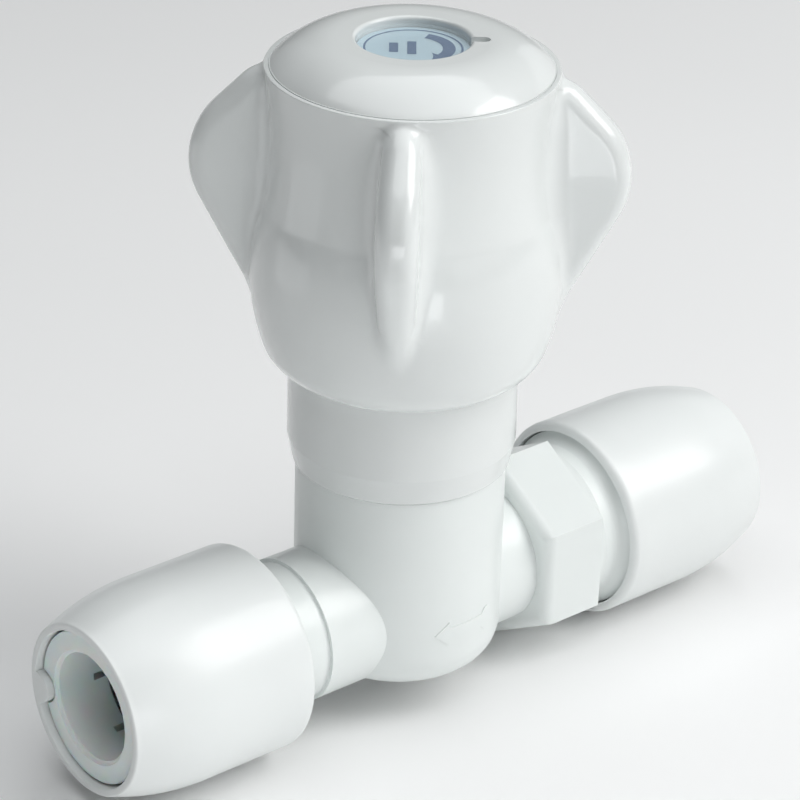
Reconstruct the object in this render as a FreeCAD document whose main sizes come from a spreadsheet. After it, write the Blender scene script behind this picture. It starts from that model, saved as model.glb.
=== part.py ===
import FreeCAD, Part
import math
import operator
import os
from types import SimpleNamespace

import Sketcher

# In-line push-fit stop valve for 15 mm pipe, with a four-winged handwheel.
#
# Frame: the origin is where the outlet pipe's end stops, on the pipe's axis. +X runs along the pipe from the
# outlet to the inlet, +Z runs up the spindle towards the handwheel. Lengths are in millimetres.
#
# Each end is built in a frame of its own, whose +X points out of the socket from the pipe stop, so that
# both ends share their functions. The spindle's pieces are built round the spindle's own axis.

os.makedirs("parts", exist_ok=True)
doc = FreeCAD.newDocument("push_fit_stop_valve")

# ---------------------------------------------------------------- driving sizes

SIZES = {
    # places of the main axes
    "outlet_reach": 28.0,           # spindle axis to the outlet's pipe stop
    "inlet_reach": 34.8,            # spindle axis to the inlet's pipe stop
    "end_roll": 9.0,                # degrees that each end's key sits below the horizontal
    "wing_phase": 46.5,             # degrees from the pipe to the first wing
    "dial_phase": -40.5,            # degrees from the pipe to the window's notch
    # clearances
    "running_gap": 0.05,            # radial, where one piece turns or slides in another
    "assembly_gap": 0.1,            # between pieces that are fixed to each other
    "free_gap": 0.35,               # between moving pieces that don't guide each other
    "cut_margin": 1.0,              # how far a cutting outline runs past what it cuts
    # waterway and pipe socket
    "waterway_radius": 5.0,
    "pipe_bore_radius": 7.6,
    "pipe_bore_length": 8.5,
    "socket_length": 15.0,
    "socket_wall": 2.47,
    "thread_depth": 0.5,
    "thread_pitch": 2.0,
    "thread_start": 1.6,
    "flange_step": 0.8,
    "flange_back": 1.0,             # behind the pipe stop
    "flange_front": 0.8,            # in front of the pipe stop
    # pieces in the socket
    "pipe_seal_section": 2.5,
    "seal_bite": 0.12,              # how far the O-ring stands inside the pipe bore
    "spacer_clearance": 0.15,
    "spacer_throat": 1.8,
    "spacer_flange_thickness": 0.25,
    "grab_ring_thickness": 0.3,
    "grab_ring_lean": 0.9,
    "grab_ring_slot_width": 0.7,
    # end cap and collet
    "cap_mouth": 26.5,
    "cap_back": 1.8,                # behind the pipe stop
    "cap_back_wall": 1.35,
    "cap_back_round": 1.0,
    "cap_mouth_wall": 1.0,
    "cap_curve_length": 13.5,
    "cap_lip_depth": 7.5,
    "cap_flange_gap": 0.2,
    "key_radius": 2.25,
    "key_depth": 2.2,
    "collet_wall": 3.15,
    "collet_recess": 1.0,
    "collet_flange_thickness": 1.7,
    "collet_slot_width": 1.0,
    "collet_slot_length": 2.2,
    "collet_mouth_round": 0.5,
    # valve body
    "barrel_radius": 14.78,
    "barrel_floor": 3.5,
    "base_crown_radius": 42.0,
    "base_corner_radius": 5.4,
    "barrel_shoulder": 21.4,
    "barrel_neck_length": 9.6,
    "barrel_neck_wall": 2.2,
    "neck_radius": 10.45,
    "neck_step": 8.0,               # outlet's pipe stop to the step in its neck
    "neck_step_height": 0.55,
    "branch_radius": 10.4,
    "branch_wall": 2.8,
    "connector_face": 17.2,         # inlet's pipe stop to the connector's back face
    "partition_gap": 1.5,           # over the waterway
    "partition_thickness": 3.0,
    "seat_height": 1.0,
    "seat_land": 1.6,
    "pocket_margin": 2.0,
    "drop_width": 12.0,
    "drop_floor_rise": 1.0,         # above the waterway's lowest line
    "arrow_length": 9.6,
    "arrow_offset": 0.1,
    "arrow_head_height": 3.6,
    "arrow_head_length": 2.1,
    "arrow_shaft_height": 2.0,
    "arrow_tail_length": 1.4,
    "arrow_relief": 0.14,
    # inlet connector
    "plug_length": 4.8,
    "plug_groove_depth": 3.36,      # behind the connector's back face
    "connector_seal_section": 1.2,
    "hex_length": 10.5,
    "hex_back_round": 1.6,
    "shoulder_length": 1.8,
    "shoulder_drop": 0.65,
    "valley_depth": 1.35,
    # spindle group, levels at rest, which is fully open
    "lift": 6.0,
    "seat_gap": 0.1,                # left between washer and seat when shut
    "opening_gap": 1.4,             # left between jumper and headgear when open
    "washer_thickness": 3.0,
    "jumper_plate_rim": 0.6,
    "jumper_plate_thickness": 1.8,
    "jumper_stem_radius": 3.0,
    "jumper_stem_length": 8.0,
    "jumper_stud_radius": 1.5,
    "jumper_nut_radius": 3.1,
    "jumper_nut_height": 2.2,
    "spindle_thread_radius": 5.0,
    "spindle_thread_end": 3.0,      # below the stuffing box
    "spindle_shank_radius": 4.5,
    "spindle_square": 7.0,
    "screw_radius": 2.0,
    "screw_length": 9.0,
    "screw_head_radius": 3.6,
    "screw_head_height": 2.2,
    # headworks
    "headgear_groove_depth": 5.0,   # below the barrel's top
    "headgear_seal_section": 2.0,
    "headgear_flange_gap": 0.7,
    "headgear_flange_thickness": 2.4,
    "headgear_height": 15.0,        # above the barrel's top
    "stuffing_depth": 7.0,
    "stuffing_wall": 1.9,
    "spindle_seal_section": 1.9,
    "gland_wall": 1.2,
    "gland_height": 5.5,
    "gland_lid": 2.0,
    # bonnet
    "bonnet_radius": 16.0,
    "bonnet_wall": 1.7,
    "bonnet_foot_step": 0.7,
    "bonnet_foot_round": 0.6,
    "bonnet_taper": 4.0,
    "bonnet_ledge_thickness": 2.5,
    "bonnet_ledge_gap": 0.8,
    "bonnet_over_gland": 1.9,
    # handwheel, heights above its skirt's edge
    "bonnet_show": 15.3,            # how much of the bonnet shows under the skirt
    "skirt_lip": 0.55,
    "skirt_round": 6.0,
    "belly_low_step": 2.8,
    "belly_low_height": 3.2,
    "belly_curve": 32.0,
    "belly_high_step": 2.9,
    "belly_high_height": 23.7,
    "waist_curve": 65.0,
    "rim_step": 2.85,
    "handwheel_height": 43.0,
    "rim_lip": 0.6,
    "rim_ledge_width": 2.0,
    "rim_taper": 0.625,             # how much narrower the hollow under the cap is at its foot
    "roof_gap": 2.9,                # between gland nut and handwheel when shut
    "handwheel_web_thickness": 4.0,
    "handwheel_boss_radius": 7.5,
    "boss_drop": 4.8,               # below the rim
    "wing_reach": 10.15,
    "wing_height": 28.5,
    "wing_curve": 11.6,
    "wing_low_slope": 27.4,         # degrees from upright
    "wing_high_slope": 45.0,        # degrees from upright
    "wing_shoulder_curve": 6.5,
    "wing_shoulder_drop": 0.6,      # below the rim
    "wing_thickness": 5.8,
    "wing_round": 2.6,
    # handwheel cap, lens and disc
    "cover_rise": 3.8,
    "cover_curve": 11.3,
    "cover_edge_rise": 0.1,
    "cover_edge_step": 0.15,
    "cover_thickness": 2.4,
    "window_radius": 7.68,
    "window_depth": 1.9,
    "window_round": 0.5,
    "notch_length": 2.5,
    "notch_width": 1.7,
    "notch_depth": 1.0,
    "disc_thickness": 0.4,
    "lens_thickness": 0.8,
}

THREAD_TURNS = 6
GRAB_RING_TEETH = 12
COLLET_SLOTS = 6
WINGS = 4

sheet = doc.addObject("Spreadsheet::Sheet", "Sizes")
for row, (name, number) in enumerate(SIZES.items(), start=1):
    sheet.set(f"A{row}", name)
    sheet.set(f"B{row}", str(number))
    sheet.setAlias(f"B{row}", name)
doc.recompute()


class Size:
    """A size: its value now, and the expression that ties it to the sheet."""

    def __init__(self, value, text):
        self.value = value
        self.text = text

    def __add__(self, other):
        return combined(self, other, operator.add, "+")

    def __sub__(self, other):
        return combined(self, other, operator.sub, "-")

    def __mul__(self, other):
        return combined(self, other, operator.mul, "*")

    def __truediv__(self, other):
        return combined(self, other, operator.truediv, "/")

    def __neg__(self):
        return Size(-self.value, f"-({self.text})")


def as_size(number):
    return number if isinstance(number, Size) else Size(float(number), str(number))


def combined(first, second, work, sign):
    first = as_size(first)
    second = as_size(second)
    return Size(work(first.value, second.value), f"({first.text} {sign} {second.text})")


def root(size):
    return Size(math.sqrt(size.value), f"sqrt({size.text})")


def sine(degrees):
    return Size(math.sin(math.radians(degrees.value)), f"sin({degrees.text})")


def cosine(degrees):
    return Size(math.cos(math.radians(degrees.value)), f"cos({degrees.text})")


def tangent(degrees):
    return sine(degrees) / cosine(degrees)


size = SimpleNamespace(**{name: Size(number, "Sizes." + name) for name, number in SIZES.items()})

# ---------------------------------------------------------------- sizes that follow from the driving ones

HEX_FLAT = math.sqrt(0.75)          # a hexagon's flat radius as a share of its corner radius

fit = SimpleNamespace()

# pipe socket and the pieces in it
fit.seal_inner_radius = size.pipe_bore_radius - size.seal_bite
fit.packing_radius = fit.seal_inner_radius + size.pipe_seal_section + size.running_gap
fit.spacer_bore_radius = size.pipe_bore_radius + size.spacer_clearance
fit.grab_ring_inner_radius = size.pipe_bore_radius - size.running_gap
fit.socket_radius = fit.packing_radius + size.socket_wall
fit.flange_radius = fit.socket_radius + size.flange_step

# end cap and collet
fit.cap_recess_radius = fit.flange_radius + size.cap_flange_gap
fit.cap_radius = fit.cap_recess_radius + size.cap_back_wall
fit.cap_pocket_radius = fit.socket_radius - size.thread_depth
fit.cap_pocket_start = size.socket_length + size.spacer_flange_thickness
fit.lip_shoulder = size.cap_mouth - size.cap_lip_depth
fit.collet_flange_radius = fit.cap_pocket_radius - size.free_gap
fit.collet_bore_radius = size.pipe_bore_radius + size.assembly_gap
fit.collet_radius = fit.collet_bore_radius + size.collet_wall
fit.cap_lip_radius = fit.collet_radius + size.free_gap
fit.cap_mouth_radius = fit.cap_lip_radius + size.cap_mouth_wall
fit.key_reach = fit.collet_radius - size.key_radius

# valve body
fit.partition_bottom = size.waterway_radius + size.partition_gap
fit.partition_top = fit.partition_bottom + size.partition_thickness
fit.seat_top = fit.partition_top + size.seat_height
fit.pocket_radius = size.waterway_radius + size.pocket_margin
fit.pocket_bottom = -fit.pocket_radius
fit.barrel_base = fit.pocket_bottom - size.barrel_floor
fit.drop_inner_radius = fit.pocket_radius + size.pocket_margin
fit.barrel_top = size.barrel_shoulder + size.barrel_neck_length
fit.bonnet_bore_radius = size.bonnet_radius - size.bonnet_wall
fit.barrel_neck_radius = fit.bonnet_bore_radius - size.assembly_gap
fit.chamber_radius = fit.barrel_neck_radius - size.barrel_neck_wall
fit.branch_length = size.inlet_reach - size.connector_face
fit.inlet_stop = size.outlet_reach + size.inlet_reach

# inlet connector
fit.plug_radius = size.branch_radius - size.branch_wall - size.assembly_gap
fit.valley_radius = fit.flange_radius - size.valley_depth
fit.hex_flat_radius = fit.valley_radius + size.shoulder_drop
fit.hex_corner_radius = fit.hex_flat_radius / HEX_FLAT

# jumper, which hangs from the spindle at rest
fit.washer_radius = size.waterway_radius + size.seat_land
fit.washer_bottom = fit.seat_top + size.seat_gap + size.lift
fit.plate_radius = fit.washer_radius + size.jumper_plate_rim
fit.plate_bottom = fit.washer_bottom + size.washer_thickness
fit.plate_top = fit.plate_bottom + size.jumper_plate_thickness

# headworks
fit.headgear_bottom = fit.plate_top + size.opening_gap
fit.headgear_plug_radius = fit.chamber_radius - size.assembly_gap
fit.headgear_groove_level = fit.barrel_top - size.headgear_groove_depth
fit.headgear_flange_radius = fit.bonnet_bore_radius - size.headgear_flange_gap
fit.headgear_top = fit.barrel_top + size.headgear_height
fit.stuffing_radius = size.spindle_shank_radius + size.spindle_seal_section + size.running_gap * 2
fit.stuffing_bottom = fit.headgear_top - size.stuffing_depth
fit.headgear_tube_radius = fit.stuffing_radius + size.stuffing_wall
fit.gland_bore_radius = fit.headgear_tube_radius + size.assembly_gap
fit.gland_corner_radius = (fit.gland_bore_radius + size.gland_wall) / HEX_FLAT
fit.gland_top = fit.headgear_top + size.assembly_gap + size.gland_lid
fit.bonnet_bottom = size.barrel_shoulder + size.assembly_gap
fit.bonnet_foot_radius = size.bonnet_radius - size.bonnet_foot_step
fit.bonnet_ledge_bore = fit.headgear_tube_radius + size.bonnet_ledge_gap
fit.bonnet_top = fit.gland_top + size.bonnet_over_gland

# handwheel
fit.skirt_bore_radius = size.bonnet_radius + size.free_gap
fit.skirt_radius = fit.skirt_bore_radius + size.skirt_lip
fit.skirt_bottom = fit.bonnet_bottom + size.bonnet_show
fit.belly_low_radius = fit.skirt_radius + size.belly_low_step
fit.belly_low = fit.skirt_bottom + size.belly_low_height
fit.belly_high_radius = fit.skirt_radius + size.belly_high_step
fit.belly_high = fit.skirt_bottom + size.belly_high_height
fit.rim_radius = fit.skirt_radius + size.rim_step
fit.rim_top = fit.skirt_bottom + size.handwheel_height
fit.web_bottom = fit.gland_top + size.lift + size.roof_gap
fit.boss_top = fit.rim_top - size.boss_drop
fit.wing_radius = fit.rim_radius + size.wing_reach
fit.wing_level = fit.skirt_bottom + size.wing_height
fit.wing_shoulder_level = fit.rim_top - size.wing_shoulder_drop
fit.rim_bore_radius = fit.rim_radius - size.rim_lip

# handwheel cap
fit.cover_edge_level = fit.rim_top + size.cover_edge_rise
fit.cover_bottom = fit.cover_edge_level - size.cover_thickness
fit.cover_top = fit.cover_edge_level + size.cover_rise
fit.window_floor = fit.cover_top - size.window_depth

# ---------------------------------------------------------------- sketches and features

subparts = []


def place(piece, x=None, turn=0.0, roll=None):
    """Put a piece x along the pipe, turned about Z and, before that, rolled about its own X, in degrees."""
    rotation = FreeCAD.Rotation(FreeCAD.Vector(0, 0, 1), as_size(turn).value)
    if roll is not None:
        rotation = rotation * FreeCAD.Rotation(FreeCAD.Vector(1, 0, 0), roll.value)
    piece.Placement = FreeCAD.Placement(FreeCAD.Vector(0, 0, 0), rotation)
    if x is not None:
        piece.setExpression("Placement.Base.x", x.text)


def new_body(label):
    body = doc.addObject("PartDesign::Body", label)
    body.Label = label
    subparts.append(body)
    return body


def sketch_on(body, role, name, level=None):
    """A sketch on one of the body's own origin planes, or at a level above it."""
    sketch = body.newObject("Sketcher::SketchObject", name)
    plane = next(feature for feature in body.Origin.OriginFeatures if feature.Role == role)
    sketch.AttachmentSupport = [(plane, "")]
    sketch.MapMode = "FlatFace"
    if level is not None:
        sketch.setExpression("AttachmentOffset.Base.z", as_size(level).text)
    return sketch


def arc_between(start, end, radius):
    """The short arc from start to end, anticlockwise where radius is above 0."""
    if radius < 0:
        start, end = end, start
    radius = abs(radius)
    chord = end - start
    middle = (start + end) * 0.5
    left = FreeCAD.Vector(-chord.y, chord.x, 0).normalize()
    centre = middle + left * math.sqrt(radius ** 2 - (chord.Length / 2) ** 2)
    first = math.atan2(start.y - centre.y, start.x - centre.x)
    last = math.atan2(end.y - centre.y, end.x - centre.x)
    if last < first:
        last += 2 * math.pi
    circle = Part.Circle(centre, FreeCAD.Vector(0, 0, 1), radius)
    return Part.ArcOfCircle(circle, first, last)


def outline(sketch, corners):
    """A closed outline through the corners, each bound to the sheet.

    A corner (x, y) ends a straight side and (x, y, radius) ends an arc, which runs anticlockwise where its
    radius is above 0.
    """
    corners = [[as_size(number) for number in corner] for corner in corners]
    points = [FreeCAD.Vector(corner[0].value, corner[1].value, 0) for corner in corners]
    ends = []
    for index, corner in enumerate(corners):
        start = points[index - 1]
        end = points[index]
        curved = len(corner) == 3
        edge = arc_between(start, end, corner[2].value) if curved else Part.LineSegment(start, end)
        sketch.addGeometry(edge, False)
        ends.append((2, 1) if curved and corner[2].value < 0 else (1, 2))
    for index, corner in enumerate(corners):
        following = (index + 1) % len(corners)
        tie = Sketcher.Constraint("Coincident", index, ends[index][1], following, ends[following][0])
        sketch.addConstraint(tie)
        bind_point(sketch, index, ends[index][1], corner)
        if len(corner) == 3:
            radius = corner[2] if corner[2].value > 0 else -corner[2]
            dimension(sketch, Sketcher.Constraint("Radius", index, radius.value), f"radius{index}", radius)


def bind_point(sketch, edge, end, corner):
    for letter, number, other_axis in (("X", corner[0], -2), ("Y", corner[1], -1)):
        if number.text == "0":
            sketch.addConstraint(Sketcher.Constraint("PointOnObject", edge, end, other_axis))
        else:
            distance = Sketcher.Constraint(f"Distance{letter}", -1, 1, edge, end, number.value)
            dimension(sketch, distance, f"{letter.lower()}{edge}", number)


def dimension(sketch, constraint, name, number):
    index = sketch.addConstraint(constraint)
    sketch.renameConstraint(index, name)
    sketch.setExpression(f"Constraints.{name}", number.text)


def circle_on_axis(sketch, radius):
    sketch.addGeometry(Part.Circle(FreeCAD.Vector(0, 0, 0), FreeCAD.Vector(0, 0, 1), radius.value), False)
    sketch.addConstraint(Sketcher.Constraint("Coincident", 0, 3, -1, 1))
    dimension(sketch, Sketcher.Constraint("Radius", 0, radius.value), "radius", radius)


def add(body, kind, sketch, **settings):
    """A PartDesign feature made from a sketch. It must add to the body, or cut it, as its kind says."""
    before = body.Shape.Volume if body.Tip else 0.0
    feature = body.newObject(f"PartDesign::{kind}", f"{sketch.Name}_{kind.lower()}")
    feature.Profile = sketch
    for name, setting in settings.items():
        if isinstance(setting, Size):
            feature.setExpression(name, setting.text)
        else:
            setattr(feature, name, setting)
    doc.recompute()
    change = body.Shape.Volume - before
    wanted = -1 if kind in ("Pocket", "Groove") else 1
    if change * wanted <= 0:
        raise RuntimeError(f"{feature.Name} changes the volume by {change:.3f} mm3")
    return feature


def turn(body, sketch, axis, kind="Revolution", **settings):
    return add(body, kind, sketch, ReferenceAxis=(sketch, [axis]), **settings)


def pattern(body, feature, role, count):
    """Repeat a feature evenly all round one of the body's own axes."""
    repeat = body.newObject("PartDesign::PolarPattern", f"{feature.Name}_pattern")
    axis = next(item for item in body.Origin.OriginFeatures if item.Role == role)
    repeat.Originals = [feature]
    repeat.Axis = (axis, [""])
    repeat.Angle = 360.0
    repeat.Occurrences = count
    body.Tip = repeat
    doc.recompute()
    return repeat


def round_edges(body, radius, chosen):
    """Fillet the edges of the body that a test picks."""
    base = body.Tip
    names = [f"Edge{index}" for index, edge in enumerate(base.Shape.Edges, start=1) if chosen(edge)]
    fillet = body.newObject("PartDesign::Fillet", f"{body.Name}_round")
    fillet.Base = (base, names)
    fillet.setExpression("Radius", radius.text)
    body.Tip = fillet
    doc.recompute()
    return fillet


def turned(label, axis, corners):
    """A body turned about its own Z or X axis. Corners are (radius, height) about Z, (x, radius) about X."""
    body = new_body(label)
    sketch = sketch_on(body, "XZ_Plane" if axis == "Z" else "XY_Plane", f"{label}_profile")
    outline(sketch, corners)
    turn(body, sketch, "V_Axis" if axis == "Z" else "H_Axis")
    return body


def o_ring(name, middle_radius, section, x, z=None):
    """A ring of round section at x along the pipe: flat at level z, or round the pipe's axis without one."""
    ring = doc.addObject("Part::Torus", name)
    ring.setExpression("Radius1", middle_radius.text)
    ring.setExpression("Radius2", (section / 2).text)
    if z is None:
        ring.Placement = FreeCAD.Placement(FreeCAD.Vector(), FreeCAD.Rotation(FreeCAD.Vector(0, 1, 0), 90))
    else:
        ring.setExpression("Placement.Base.z", z.text)
    ring.setExpression("Placement.Base.x", x.text)
    return ring


def hexagon(corner_radius):
    """The six corners of a hexagon, two of them on the sketch's Y axis."""
    half = corner_radius / 2
    side = corner_radius * HEX_FLAT
    right = [(side, -half), (side, half)]
    left = [(-side, half), (-side, -half)]
    return [*right, (0, corner_radius), *left, (0, -corner_radius)]


def square(width):
    half = width / 2
    return [(half, half), (-half, half), (-half, -half), (half, -half)]


# ---------------------------------------------------------------- pipe sockets


def socket_profile(stop, out):
    """Outside of a threaded socket from its flange to its end face, then its bore back to the pipe stop.

    stop is the pipe stop's place along the axis, and out is 1 or -1, the way out of the socket.
    """
    corners = [
        (stop - size.flange_back * out, fit.flange_radius),
        (stop + size.flange_front * out, fit.flange_radius),
        (stop + size.flange_front * out, fit.socket_radius),
    ]
    groove_radius = fit.socket_radius - size.thread_depth
    for turn_number in range(THREAD_TURNS):
        start = size.thread_start + size.thread_pitch * turn_number
        corners += [
            (stop + start * out, fit.socket_radius),
            (stop + (start + size.thread_pitch * 0.25) * out, groove_radius),
            (stop + (start + size.thread_pitch * 0.5) * out, groove_radius),
            (stop + (start + size.thread_pitch * 0.75) * out, fit.socket_radius),
        ]
    return corners + [
        (stop + size.socket_length * out, fit.socket_radius),
        (stop + size.socket_length * out, fit.packing_radius),
        (stop + size.pipe_bore_length * out, fit.packing_radius),
        (stop + size.pipe_bore_length * out, size.pipe_bore_radius),
        (stop, size.pipe_bore_radius),
        (stop, size.waterway_radius),
    ]


# ---------------------------------------------------------------- valve body


def valve_body():
    body = new_body("valve_body")
    place(body, size.outlet_reach)
    barrel(body)
    branches(body)
    flow_arrow(body)
    seat_and_chamber(body)
    drop_passage(body)
    inlet_branch_bore(body)


def barrel(body):
    """Upright barrel, domed below by a crown and a corner round that run into each other."""
    corner_middle = size.barrel_radius - size.base_corner_radius
    curve_gap = size.base_crown_radius - size.base_corner_radius
    corner_level = (
        fit.barrel_base
        + size.base_crown_radius
        - root(curve_gap * curve_gap - corner_middle * corner_middle)
    )
    crown_centre = fit.barrel_base + size.base_crown_radius
    share = size.base_crown_radius / curve_gap
    sketch = sketch_on(body, "XZ_Plane", "barrel_profile")
    outline(sketch, [
        (0, fit.barrel_top),
        (0, fit.barrel_base),
        (corner_middle * share, crown_centre + (corner_level - crown_centre) * share, size.base_crown_radius),
        (size.barrel_radius, corner_level, size.base_corner_radius),
        (size.barrel_radius, size.barrel_shoulder),
        (fit.barrel_neck_radius, size.barrel_shoulder),
        (fit.barrel_neck_radius, fit.barrel_top),
    ])
    turn(body, sketch, "V_Axis")


def branches(body):
    """Outlet neck with its socket on the -X side, and the plain inlet branch on the +X side."""
    stop = -size.outlet_reach
    sketch = sketch_on(body, "XY_Plane", "branch_profile")
    outline(sketch, [
        (0, 0),
        (fit.branch_length, 0),
        (fit.branch_length, size.branch_radius),
        (0, size.branch_radius),
        (0, size.neck_radius),
        (stop + size.neck_step, size.neck_radius),
        (stop + size.neck_step, size.neck_radius - size.neck_step_height),
        (stop + size.flange_back, size.neck_radius - size.neck_step_height),
        *socket_profile(stop, -1),
        (0, size.waterway_radius),
    ])
    turn(body, sketch, "H_Axis")
    bore = sketch_on(body, "XY_Plane", "outlet_waterway")
    outline(bore, [
        (-fit.drop_inner_radius, 0),
        (-fit.drop_inner_radius, size.waterway_radius),
        (stop, size.waterway_radius),
        (stop, 0),
    ])
    turn(body, bore, "H_Axis", "Groove")


def flow_arrow(body):
    """Raised arrow on the front of the barrel, from inlet to outlet, cut to an even relief."""
    tip = size.arrow_offset - size.arrow_length / 2
    tail = size.arrow_offset + size.arrow_length / 2
    head_back = tip + size.arrow_head_length
    tail_front = tail - size.arrow_tail_length
    half_head = size.arrow_head_height / 2
    half_shaft = size.arrow_shaft_height / 2
    sketch = sketch_on(body, "XZ_Plane", "arrow_outline")
    outline(sketch, [
        (tip, 0),
        (head_back, -half_head),
        (head_back, -half_shaft),
        (tail_front, -half_shaft),
        (tail - size.arrow_tail_length / 2, -half_head),
        (tail, -half_head),
        (tail - size.arrow_tail_length / 2, 0),
        (tail, half_head),
        (tail - size.arrow_tail_length / 2, half_head),
        (tail_front, half_shaft),
        (head_back, half_shaft),
        (head_back, half_head),
    ])
    proud = size.barrel_radius + size.arrow_relief
    add(body, "Pad", sketch, Length=proud + size.cut_margin)
    shave = sketch_on(body, "YZ_Plane", "arrow_relief")
    past_pad = proud + size.cut_margin * 3
    past_head = half_head + size.cut_margin
    outline(shave, [
        (-proud, -past_head),
        (-past_pad, -past_head),
        (-past_pad, past_head),
        (-proud, past_head),
    ])
    turn(body, shave, "V_Axis", "Groove", Midplane=True, Angle=60.0)


def seat_and_chamber(body):
    """Chamber above the partition, the raised seat, and the pocket below it that the inlet feeds."""
    sketch = sketch_on(body, "XZ_Plane", "chamber_profile")
    outline(sketch, [
        (0, fit.barrel_top),
        (0, fit.pocket_bottom),
        (fit.pocket_radius, fit.pocket_bottom),
        (fit.pocket_radius, fit.partition_bottom),
        (size.waterway_radius, fit.partition_bottom),
        (size.waterway_radius, fit.seat_top),
        (fit.washer_radius, fit.seat_top),
        (fit.washer_radius, fit.partition_top),
        (fit.chamber_radius, fit.partition_top),
        (fit.chamber_radius, fit.barrel_top),
    ])
    turn(body, sketch, "V_Axis", "Groove")


def drop_passage(body):
    """Slot down from the chamber's outlet side into the outlet waterway."""
    half = size.drop_width / 2
    outer = root(fit.chamber_radius * fit.chamber_radius - half * half)
    start = fit.partition_top + size.cut_margin
    sketch = sketch_on(body, "XY_Plane", "drop_outline", start)
    outline(sketch, [
        (-fit.drop_inner_radius, -half),
        (-fit.drop_inner_radius, half),
        (-outer, half),
        (-outer, -half, fit.chamber_radius),
    ])
    add(body, "Pocket", sketch, Length=start + size.waterway_radius - size.drop_floor_rise)


def inlet_branch_bore(body):
    """Waterway from the branch into the pocket under the seat, with the threaded bore for the connector."""
    plug_end = fit.branch_length - size.plug_length - size.assembly_gap
    bore_radius = size.branch_radius - size.branch_wall
    sketch = sketch_on(body, "XY_Plane", "inlet_waterway")
    outline(sketch, [
        (0, 0),
        (fit.branch_length, 0),
        (fit.branch_length, bore_radius),
        (plug_end, bore_radius),
        (plug_end, size.waterway_radius),
        (0, size.waterway_radius),
    ])
    turn(body, sketch, "H_Axis", "Groove")


# ---------------------------------------------------------------- inlet connector


def inlet_connector():
    """Hexagon, round shoulder and socket, with a plug that screws into the body's branch."""
    body = new_body("inlet_connector")
    place(body, fit.inlet_stop)
    face = -size.connector_face
    hex_end = face + size.hex_length

    hex_sketch = sketch_on(body, "YZ_Plane", "connector_hexagon", face)
    outline(hex_sketch, hexagon(fit.hex_corner_radius))
    add(body, "Pad", hex_sketch, Length=size.hex_length)
    round_edges(body, size.hex_back_round, lambda edge: edge.BoundBox.XMax < face.value + 0.01)

    groove_inner = fit.plug_radius - size.connector_seal_section
    groove_start = face - size.plug_groove_depth
    groove_end = groove_start + size.connector_seal_section
    shoulder_end = hex_end + size.shoulder_length
    flange_edge = -size.flange_back
    valley = (shoulder_end + flange_edge) / 2
    core_radius = fit.hex_flat_radius - size.cut_margin
    turning = sketch_on(body, "XY_Plane", "connector_profile")
    outline(turning, [
        (face - size.plug_length, size.waterway_radius),
        (face - size.plug_length, fit.plug_radius),
        (groove_start, fit.plug_radius),
        (groove_start, groove_inner),
        (groove_end, groove_inner),
        (groove_end, fit.plug_radius),
        (face + size.hex_back_round, fit.plug_radius),
        (face + size.hex_back_round, core_radius),
        (hex_end, core_radius),
        (hex_end, fit.hex_flat_radius),
        (shoulder_end, fit.valley_radius, -size.shoulder_length * 2),
        (valley, fit.valley_radius),
        (flange_edge, fit.flange_radius, size.valley_depth * 2),
        *socket_profile(as_size(0), 1)[1:],
    ])
    turn(body, turning, "H_Axis")

    waterway = sketch_on(body, "XY_Plane", "connector_waterway")
    outline(waterway, [
        (0, 0),
        (0, size.waterway_radius),
        (face - size.plug_length, size.waterway_radius),
        (face - size.plug_length, 0),
    ])
    turn(body, waterway, "H_Axis", "Groove")

    ring_radius = groove_inner + size.connector_seal_section / 2
    ring_place = fit.inlet_stop + (groove_start + groove_end) / 2
    subparts.append(o_ring("connector_seal", ring_radius, size.connector_seal_section, ring_place))


# ---------------------------------------------------------------- pieces of each end


def end_pieces(end, x, turn_about_z):
    """Cap, collet, toothed ring, spacer and O-ring of one end."""

    def put(piece):
        place(piece, x, turn_about_z, size.end_roll)

    put(end_cap(f"{end}_cap"))
    put(collet(f"{end}_collet"))
    put(grab_ring(f"{end}_grab_ring"))
    put(spacer(f"{end}_spacer"))
    ring_radius = fit.seal_inner_radius + size.pipe_seal_section / 2
    depth = size.pipe_bore_length + size.pipe_seal_section / 2 + size.running_gap
    ring_place = x + depth if turn_about_z == 0 else x - depth
    subparts.append(o_ring(f"{end}_seal", ring_radius, size.pipe_seal_section, ring_place))


def end_cap(label):
    """Barrel-shaped cap: threaded over the socket, with a lip that keeps the collet in."""
    bore = fit.socket_radius + size.running_gap
    swell = fit.cap_radius - fit.cap_mouth_radius
    curve = (size.cap_curve_length * size.cap_curve_length + swell * swell) / (swell * 2)
    back = -size.cap_back
    body = new_body(label)
    profile = sketch_on(body, "XY_Plane", f"{label}_profile")
    outline(profile, [
        (back, fit.cap_recess_radius),
        (size.flange_front + size.running_gap, fit.cap_recess_radius),
        (size.flange_front + size.running_gap, bore),
        (fit.cap_pocket_start, bore),
        (fit.cap_pocket_start, fit.cap_pocket_radius),
        (fit.lip_shoulder, fit.cap_pocket_radius),
        (fit.lip_shoulder, fit.cap_lip_radius),
        (size.cap_mouth, fit.cap_lip_radius),
        (size.cap_mouth, fit.cap_mouth_radius),
        (size.cap_mouth - size.cap_curve_length, fit.cap_radius, curve),
        (back + size.cap_back_round, fit.cap_radius),
        (back, fit.cap_radius - size.cap_back_round, size.cap_back_round),
    ])
    turn(body, profile, "H_Axis")

    key = sketch_on(body, "YZ_Plane", f"{label}_key", size.cap_mouth - size.key_depth)
    outer = (fit.cap_lip_radius + fit.cap_mouth_radius) / 2
    round_start = fit.key_reach + size.key_radius
    outline(key, [
        (-outer, size.key_radius),
        (-outer, -size.key_radius),
        (-round_start, -size.key_radius),
        (-fit.key_reach, 0, size.key_radius),
        (-round_start, size.key_radius, size.key_radius),
    ])
    add(body, "Pad", key, Length=size.key_depth)
    return body


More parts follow.
